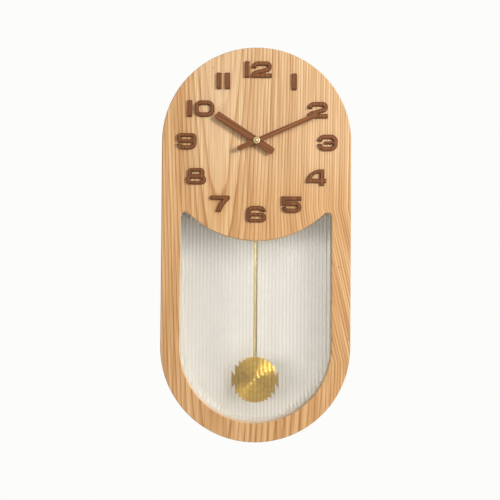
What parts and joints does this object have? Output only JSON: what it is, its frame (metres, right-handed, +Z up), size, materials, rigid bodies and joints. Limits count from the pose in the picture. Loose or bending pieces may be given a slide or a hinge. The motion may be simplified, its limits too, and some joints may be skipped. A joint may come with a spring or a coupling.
{
  "type": "pendulum wall clock",
  "caption": "Tall round-ended wooden wall clock with raised wooden numerals, slim hands and a brass pendulum that swings behind a ribbed glass window.",
  "frame": {"origin": "centre of the keyhole's round entry in the hanger plate, on the wall plane", "axes": "+Z up, +Y into the wall, so the dial faces -Y and +X is to the viewer's right"},
  "size_m": [0.22, 0.0647, 0.458],
  "materials": {
    "ash_wood": "oiled, with straight and cathedral grain",
    "walnut_wood": "oiled",
    "painted_board": "white satin paint on fibreboard",
    "fluted_glass": "clear, with half-round ribs",
    "brass": "spun and lacquered",
    "zinc_steel": "zinc plated",
    "black_plastic": "fine texture",
    "white_plastic": "moulded",
    "magnet": "sintered",
    "copper_winding": "enamelled wire",
    "circuit": "solder mask",
    "battery_jacket": "plain printed jacket",
    "rubber": "matt"
  },
  "bodies": {
    "case": {"front_board": "ash_wood", "case_frame": "ash_wood", "numeral_1": "walnut_wood", "numeral_2": "walnut_wood", "numeral_3": "walnut_wood", "numeral_4": "walnut_wood", "numeral_5": "walnut_wood", "numeral_6": "walnut_wood", "numeral_7": "walnut_wood", "numeral_8": "walnut_wood", "numeral_9": "walnut_wood", "numeral_10": "walnut_wood", "numeral_11": "walnut_wood", "numeral_12": "walnut_wood", "back_panel": "painted_board", "fluted_glass": "fluted_glass", "center_bush": "brass", "hanger_plate": "zinc_steel", "hanger_screws": "zinc_steel", "back_panel_screws": "zinc_steel", "frame_screws": "zinc_steel", "glazing_clips": "zinc_steel", "clip_screws": "zinc_steel", "movement_screws": "zinc_steel", "cover_screws": "zinc_steel", "hanger_pivot_pin": "zinc_steel", "positive_contact": "zinc_steel", "negative_contact": "zinc_steel", "quartz_crystal": "zinc_steel", "stator": "zinc_steel", "movement_front_shell": "black_plastic", "movement_rear_cover": "black_plastic", "motor_coil": "copper_winding", "pendulum_coil": "copper_winding", "circuit_board": "circuit", "battery": "battery_jacket", "rubber_gasket": "rubber"},
    "pendulum": {"pendulum_hanger": "black_plastic", "pendulum_magnet": "magnet", "pendulum_rod": "brass", "pendulum_bob": "brass", "bob_clip": "zinc_steel"},
    "minute_hand": {"center_wheel": "brass", "minute_hand": "walnut_wood", "minute_hand_bush": "brass", "hand_cap_nut": "brass"},
    "hour_hand": {"hour_wheel": "white_plastic", "hour_hand": "walnut_wood", "hour_hand_bush": "brass"},
    "minute_wheel": {"minute_wheel": "white_plastic", "setting_knob": "black_plastic"},
    "third_wheel": {"third_wheel": "white_plastic"},
    "seconds_wheel": {"seconds_wheel": "white_plastic"},
    "intermediate_wheel": {"intermediate_wheel": "white_plastic"},
    "rotor": {"rotor_pinion": "white_plastic", "rotor_magnet": "magnet"}
  },
  "joints": [
    {"name": "minute_spin", "type": "hinge", "parent": "case", "child": "minute_hand", "pos_m": [0, -0.046, -0.094], "axis": [0, 1, 0], "continuous": true},
    {"name": "hour_spin", "type": "hinge", "parent": "case", "child": "hour_hand", "pos_m": [0, -0.046, -0.094], "axis": [0, 1, 0], "continuous": true},
    {"name": "minute_wheel_spin", "type": "hinge", "parent": "case", "child": "minute_wheel", "pos_m": [-0.012, -0.046, -0.094], "axis": [0, 1, 0], "continuous": true},
    {"name": "third_spin", "type": "hinge", "parent": "case", "child": "third_wheel", "pos_m": [0.00612, -0.046, -0.0834], "axis": [0, 1, 0], "continuous": true},
    {"name": "seconds_spin", "type": "hinge", "parent": "case", "child": "seconds_wheel", "pos_m": [0, -0.046, -0.094], "axis": [0, 1, 0], "continuous": true},
    {"name": "intermediate_spin", "type": "hinge", "parent": "case", "child": "intermediate_wheel", "pos_m": [-0.006, -0.046, -0.08361], "axis": [0, 1, 0], "continuous": true},
    {"name": "rotor_spin", "type": "hinge", "parent": "case", "child": "rotor", "pos_m": [-0.01206, -0.046, -0.08011], "axis": [0, 1, 0], "continuous": true},
    {"name": "pendulum_swing", "type": "hinge", "parent": "case", "child": "pendulum", "pos_m": [0, -0.0242, -0.132], "axis": [0, 1, 0], "range_deg": [-8, 8]}
  ],
  "couplings": [
    {"joint": "hour_spin", "follows": "minute_spin", "ratio": 0.083333},
    {"joint": "minute_wheel_spin", "follows": "minute_spin", "ratio": -0.33333},
    {"joint": "third_spin", "follows": "minute_spin", "ratio": -8},
    {"joint": "seconds_spin", "follows": "minute_spin", "ratio": 60},
    {"joint": "intermediate_spin", "follows": "minute_spin", "ratio": -300},
    {"joint": "rotor_spin", "follows": "minute_spin", "ratio": 1800}
  ]
}
